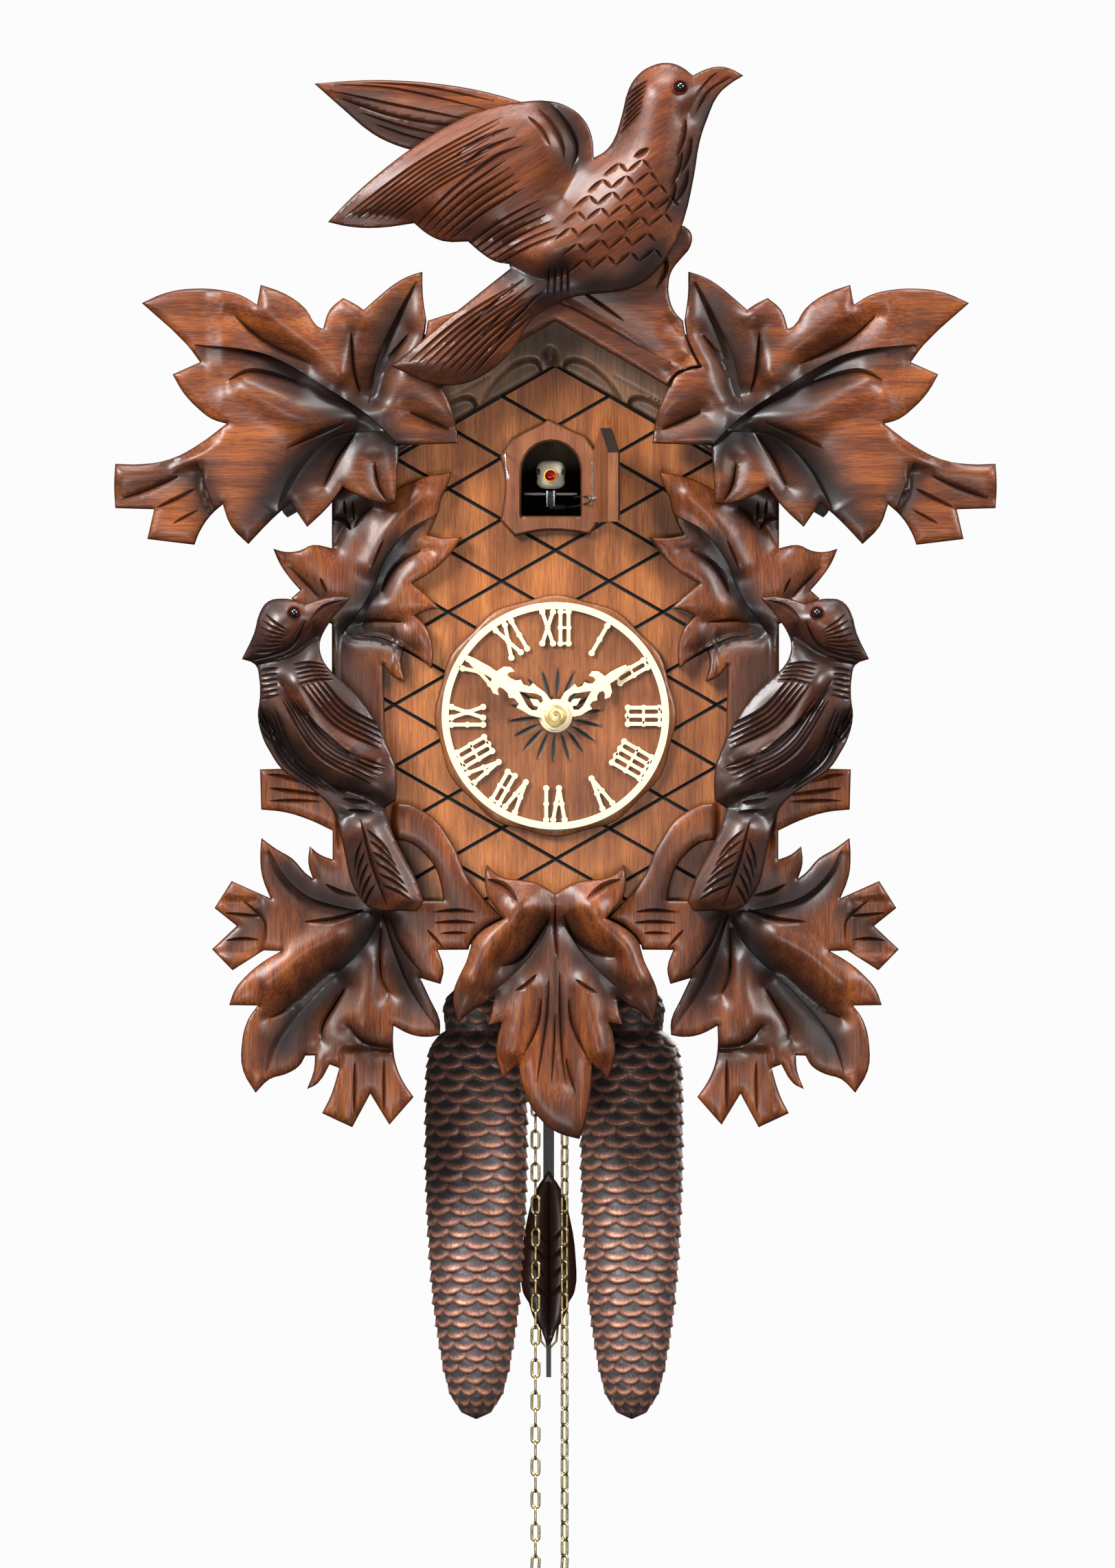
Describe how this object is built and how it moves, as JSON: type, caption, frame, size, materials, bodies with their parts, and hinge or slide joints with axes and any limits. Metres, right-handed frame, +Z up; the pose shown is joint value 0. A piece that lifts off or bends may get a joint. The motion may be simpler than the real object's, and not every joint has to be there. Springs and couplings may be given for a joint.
{
  "type": "cuckoo clock",
  "caption": "Carved wooden wall clock with leaves, birds, a cuckoo behind a small door, an open dial, cone weights on chains and a leaf pendulum.",
  "frame": {"origin": "on the wall plane, straight behind the centre of the dial", "axes": "+Z up, +Y into the wall, so the dial faces -Y; +X to the right of someone facing the clock"},
  "size_m": [0.3852, 0.1683, 0.7795],
  "materials": {
    "walnut_stain": "hand carved, dark red-brown stain, satin lacquer",
    "honey_board": "fine straight grain, honey stain, satin lacquer",
    "grey_brown_board": "straight grain, greyer stain",
    "black_stain": "near-black stain",
    "dial_wood": "turned edge, mid-brown stain",
    "cream_plastic": "bone coloured, satin",
    "polished_brass": "bright, slightly tarnished",
    "steel": "drawn wire and pressed sheet",
    "bronzed_iron": "dark bronzed casting with rubbed scale edges",
    "cuckoo_paint": "cream paint",
    "beak_paint": "orange and red paint",
    "eye_glaze": "black gloss",
    "bellows_cloth": "pleated paper and cloth"
  },
  "bodies": {
    "case": {"front_board": "honey_board", "gable_trim": "grey_brown_board", "side_panel_left": "honey_board", "side_panel_right": "honey_board", "bottom_board": "honey_board", "back_panel": "honey_board", "roof_left": "black_stain", "roof_right": "black_stain", "hanging_plate": "steel", "crown_board": "walnut_stain", "upper_leaf_left": "walnut_stain", "upper_leaf_right": "walnut_stain", "top_bird": "walnut_stain", "top_bird_far_wing": "walnut_stain", "top_bird_eye": "eye_glaze", "side_carving_left": "walnut_stain", "side_carving_right": "walnut_stain", "bottom_leaf": "walnut_stain", "side_bird_left": "walnut_stain", "side_bird_right": "walnut_stain", "side_bird_eye_left": "eye_glaze", "side_bird_eye_right": "eye_glaze", "door_surround": "walnut_stain", "dial_plate": "dial_wood", "numeral_ring": "cream_plastic", "front_plate": "polished_brass", "back_plate": "polished_brass", "gong": "steel", "bellows_left": "honey_board", "bellows_right": "honey_board", "free_chain_left": "polished_brass", "free_chain_right": "polished_brass", "chain_hank_left": "polished_brass", "chain_hank_right": "polished_brass"},
    "latch_left": {"back_latch_left": "steel"},
    "latch_right": {"back_latch_right": "steel"},
    "centre": {"centre_wheel": "polished_brass", "minute_hand": "cream_plastic", "hand_nut": "polished_brass"},
    "hour": {"hour_hand": "cream_plastic"},
    "time_wheel": {"time_great_wheel": "polished_brass"},
    "strike_wheel": {"strike_great_wheel": "polished_brass"},
    "escape": {"escape_wheel": "polished_brass"},
    "anchor_arm": {"anchor": "steel"},
    "fly_vane": {"fly": "steel"},
    "pendulum": {"pendulum_rod": "black_stain"},
    "bob": {"pendulum_bob": "black_stain"},
    "drive_left": {"weight_left": "bronzed_iron", "weight_chain_left": "polished_brass"},
    "drive_right": {"weight_right": "bronzed_iron", "weight_chain_right": "polished_brass"},
    "carrier": {"cuckoo_carrier": "steel", "door_wire": "steel"},
    "cuckoo": {"cuckoo_body": "cuckoo_paint", "cuckoo_beak": "beak_paint"},
    "door": {"cuckoo_door": "walnut_stain"},
    "door_hook": {"door_latch": "steel"},
    "lid_left": {"bellows_top_left": "bellows_cloth"},
    "lid_right": {"bellows_top_right": "bellows_cloth"},
    "hammer": {"gong_hammer": "steel"}
  },
  "joints": [
    {"name": "centre_arbor", "type": "hinge", "parent": "case", "child": "centre", "pos_m": [0, -0.07, 0], "axis": [0, 1, 0], "continuous": true},
    {"name": "hour_arbor", "type": "hinge", "parent": "case", "child": "hour", "pos_m": [0, -0.1, 0], "axis": [0, 1, 0], "continuous": true},
    {"name": "strike_great_arbor", "type": "hinge", "parent": "case", "child": "strike_wheel", "pos_m": [-0.02175, -0.058, -0.028], "axis": [0, 1, 0], "continuous": true},
    {"name": "time_great_arbor", "type": "hinge", "parent": "case", "child": "time_wheel", "pos_m": [0.02045, -0.058, -0.028], "axis": [0, 1, 0], "continuous": true},
    {"name": "escape_arbor", "type": "hinge", "parent": "case", "child": "escape", "pos_m": [-0.003, -0.051, 0.027], "axis": [0, 1, 0], "continuous": true},
    {"name": "fly_arbor", "type": "hinge", "parent": "case", "child": "fly_vane", "pos_m": [-0.027, -0.058, 0.038], "axis": [0, 1, 0], "continuous": true},
    {"name": "pendulum_swing", "type": "hinge", "parent": "case", "child": "pendulum", "pos_m": [-0.003, -0.022, 0.052], "axis": [0, 1, 0], "range_deg": [-4, 4]},
    {"name": "anchor_arbor", "type": "hinge", "parent": "case", "child": "anchor_arm", "pos_m": [-0.003, -0.051, 0.045], "axis": [0, 1, 0], "range_deg": [-4, 4]},
    {"name": "bob_height", "type": "slide", "parent": "pendulum", "child": "bob", "axis": [0, 0, 1], "range_m": [-0.02, 0.02]},
    {"name": "weight_left_drop", "type": "slide", "parent": "case", "child": "drive_left", "axis": [0, 0, -1], "range_m": [0, 0.06]},
    {"name": "weight_right_drop", "type": "slide", "parent": "case", "child": "drive_right", "axis": [0, 0, -1], "range_m": [0, 0.06]},
    {"name": "carrier_turn", "type": "hinge", "parent": "case", "child": "carrier", "pos_m": [0.016, -0.095, 0.095], "axis": [0, 0, 1], "range_deg": [-50, 0]},
    {"name": "door_swing", "type": "hinge", "parent": "case", "child": "door", "pos_m": [0.0162, -0.1289, 0.105], "axis": [0, 0, 1], "range_deg": [-102, 0]},
    {"name": "cuckoo_bow", "type": "hinge", "parent": "carrier", "child": "cuckoo", "pos_m": [-0.002, -0.106, 0.0988], "axis": [1, 0, 0], "range_deg": [0, 15]},
    {"name": "door_latch_swing", "type": "hinge", "parent": "case", "child": "door_hook", "pos_m": [-0.022, -0.1315, 0.1143], "axis": [0, -1, 0], "range_deg": [0, 90]},
    {"name": "bellows_left_lift", "type": "hinge", "parent": "case", "child": "lid_left", "pos_m": [-0.072, -0.0884, 0.0923], "axis": [-1, 0, 0], "range_deg": [0, 15]},
    {"name": "bellows_right_lift", "type": "hinge", "parent": "case", "child": "lid_right", "pos_m": [0.072, -0.0884, 0.0923], "axis": [-1, 0, 0], "range_deg": [0, 15]},
    {"name": "hammer_swing", "type": "hinge", "parent": "case", "child": "hammer", "pos_m": [0.072, -0.011, 0.022], "axis": [0, -1, 0], "range_deg": [0, 10]},
    {"name": "back_latch_left_turn", "type": "hinge", "parent": "case", "child": "latch_left", "pos_m": [-0.082, -0.0008, 0.02], "axis": [0, 1, 0], "range_deg": [0, 90]},
    {"name": "back_latch_right_turn", "type": "hinge", "parent": "case", "child": "latch_right", "pos_m": [0.082, -0.0008, 0.02], "axis": [0, 1, 0], "range_deg": [-90, 0]}
  ],
  "couplings": [
    {"joint": "hour_arbor", "follows": "centre_arbor", "ratio": 0.083333},
    {"joint": "time_great_arbor", "follows": "centre_arbor", "ratio": -0.13333},
    {"joint": "strike_great_arbor", "follows": "fly_arbor", "ratio": -0.0020833},
    {"joint": "anchor_arbor", "follows": "pendulum_swing", "ratio": 1},
    {"joint": "door_swing", "follows": "carrier_turn", "ratio": 2.04}
  ]
}
